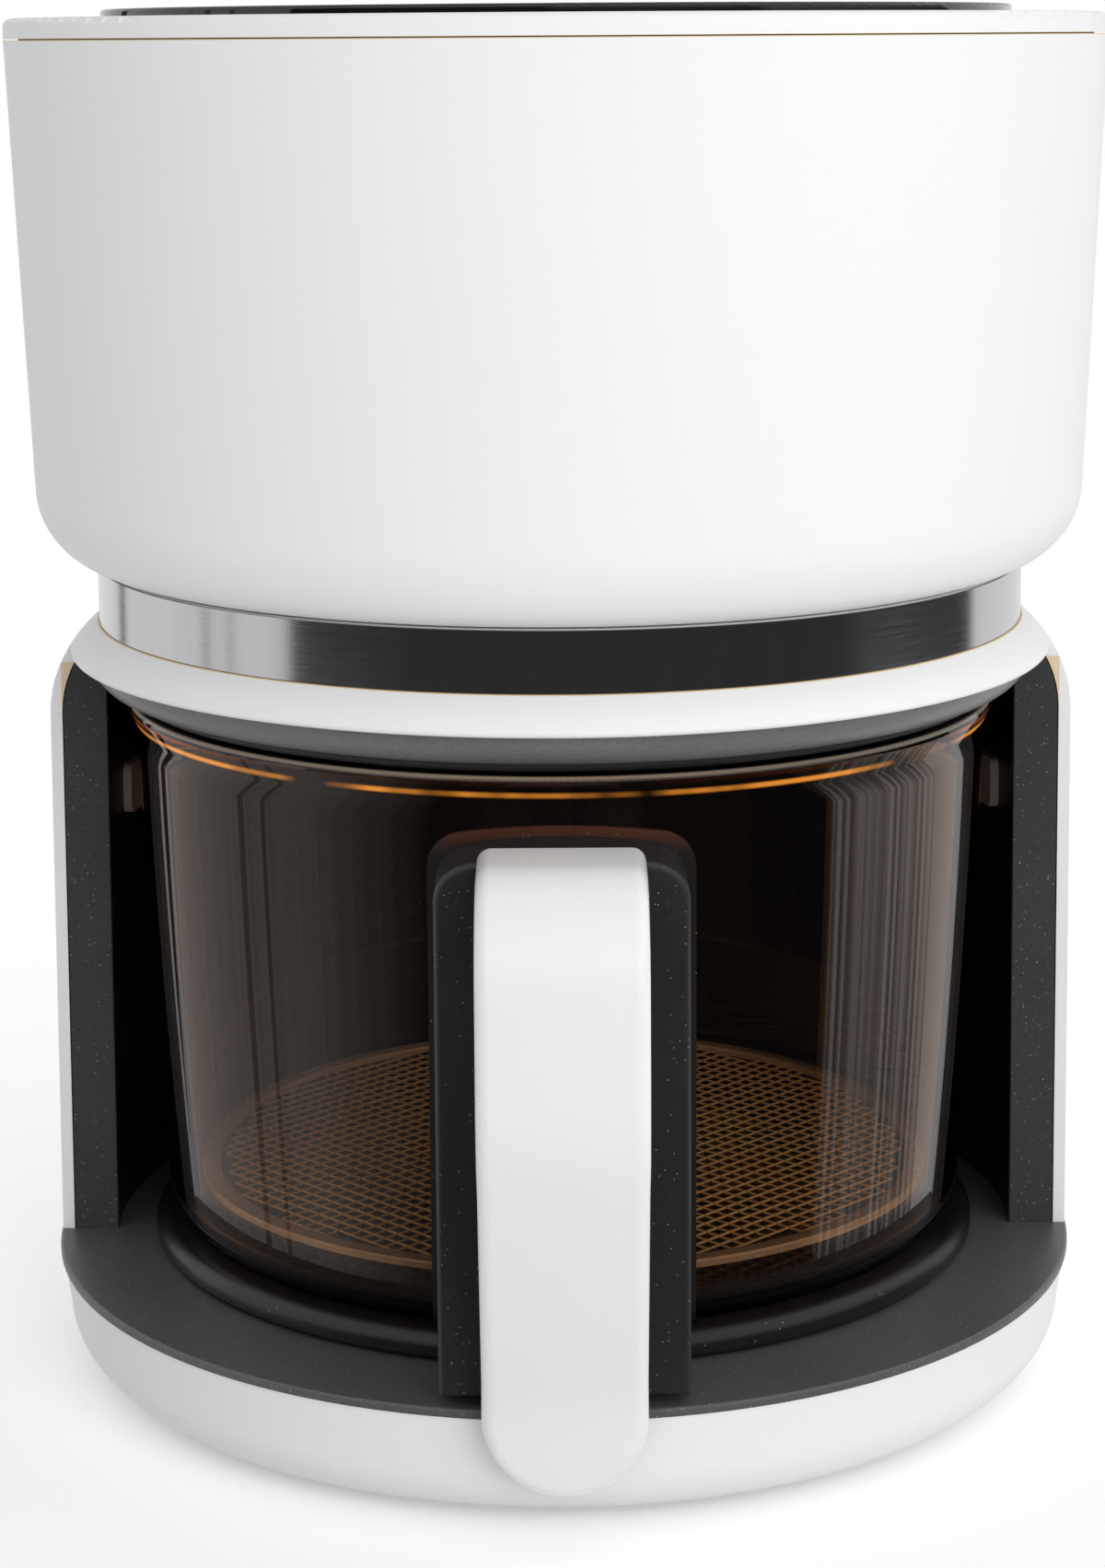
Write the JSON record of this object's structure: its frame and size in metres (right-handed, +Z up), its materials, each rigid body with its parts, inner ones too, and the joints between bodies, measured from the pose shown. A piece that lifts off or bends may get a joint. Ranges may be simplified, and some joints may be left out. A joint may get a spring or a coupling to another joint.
{
  "type": "glass air fryer",
  "caption": "Countertop air fryer with a round white head on a half-round column and a smoked glass jar that pulls out at the front on a round base.",
  "frame": {"origin": "on the surface the feet stand on, where the vertical axis of the round base, column and head meets it", "axes": "+Z up, -Y to the front where the handle is, +X to the picture's right"},
  "size_m": [0.275, 0.3043, 0.3442],
  "materials": {
    "white_plastic": "satin",
    "black_plastic": "satin",
    "charcoal_plastic": "satin",
    "panel_glass": "gloss",
    "smoked_glass": "gloss",
    "brushed_steel": "brushed",
    "sheet_steel": "satin",
    "bright_steel": "polished",
    "aluminium": "satin",
    "element_sheath": "dull",
    "bush_bronze": "satin",
    "rubber": "matte",
    "silicone": "matte",
    "board": "satin",
    "light_plastic": "satin",
    "wire_sleeve": "matte"
  },
  "bodies": {
    "housing": {"base_shell": "white_plastic", "base_plate": "black_plastic", "rubber_feet": "rubber", "base_screws": "bright_steel", "base_tray": "charcoal_plastic", "main_frame": "white_plastic", "column_liner": "charcoal_plastic", "jar_bumpers": "silicone", "trim_band": "brushed_steel", "head_shell": "white_plastic", "rear_grille": "black_plastic", "top_cover": "white_plastic", "control_panel": "panel_glass", "control_board": "board", "chamber_skirt": "charcoal_plastic", "chamber_seal": "silicone", "heat_chamber": "aluminium", "heating_element": "element_sheath", "element_clips": "sheet_steel", "heater_guard": "sheet_steel", "heat_shield": "sheet_steel", "exhaust_duct": "sheet_steel", "motor": "sheet_steel", "motor_bushes": "bush_bronze", "motor_bracket": "sheet_steel", "power_board": "board", "temperature_sensor": "bright_steel", "thermal_fuse": "light_plastic", "interlock_switch": "black_plastic", "wiring_harness": "wire_sleeve", "cord_inlet": "black_plastic"},
    "fan_rotor": {"convection_fan": "aluminium", "fan_nut": "bright_steel", "motor_shaft": "bright_steel", "cooling_fan": "black_plastic"},
    "plunger": {"interlock_plunger": "light_plastic"},
    "jar": {"glass_jar": "smoked_glass", "jar_foot": "black_plastic", "bracket_pad": "black_plastic", "handle_bracket": "black_plastic", "handle_cover": "white_plastic", "handle_grip": "black_plastic", "handle_screws": "bright_steel", "clamp_plate": "sheet_steel", "screw_sleeves": "silicone"},
    "rack": {"rack_rim": "bright_steel", "rack_mesh": "bright_steel", "rack_feet": "silicone"}
  },
  "joints": [
    {"name": "fan_spin", "type": "hinge", "parent": "housing", "child": "fan_rotor", "pos_m": [0, 0, 0.25], "axis": [0, 0, 1], "continuous": true},
    {"name": "jar_slide", "type": "slide", "parent": "housing", "child": "jar", "axis": [0, -1, 0], "range_m": [0, 0.25]},
    {"name": "rack_lift", "type": "slide", "parent": "jar", "child": "rack", "axis": [0, 0, 1], "range_m": [0, 0.12]},
    {"name": "plunger_press", "type": "slide", "parent": "housing", "child": "plunger", "axis": [0, 1, 0], "range_m": [0, 0.001], "stiffness_N_per_m": 200, "springref_m": -0.003}
  ]
}
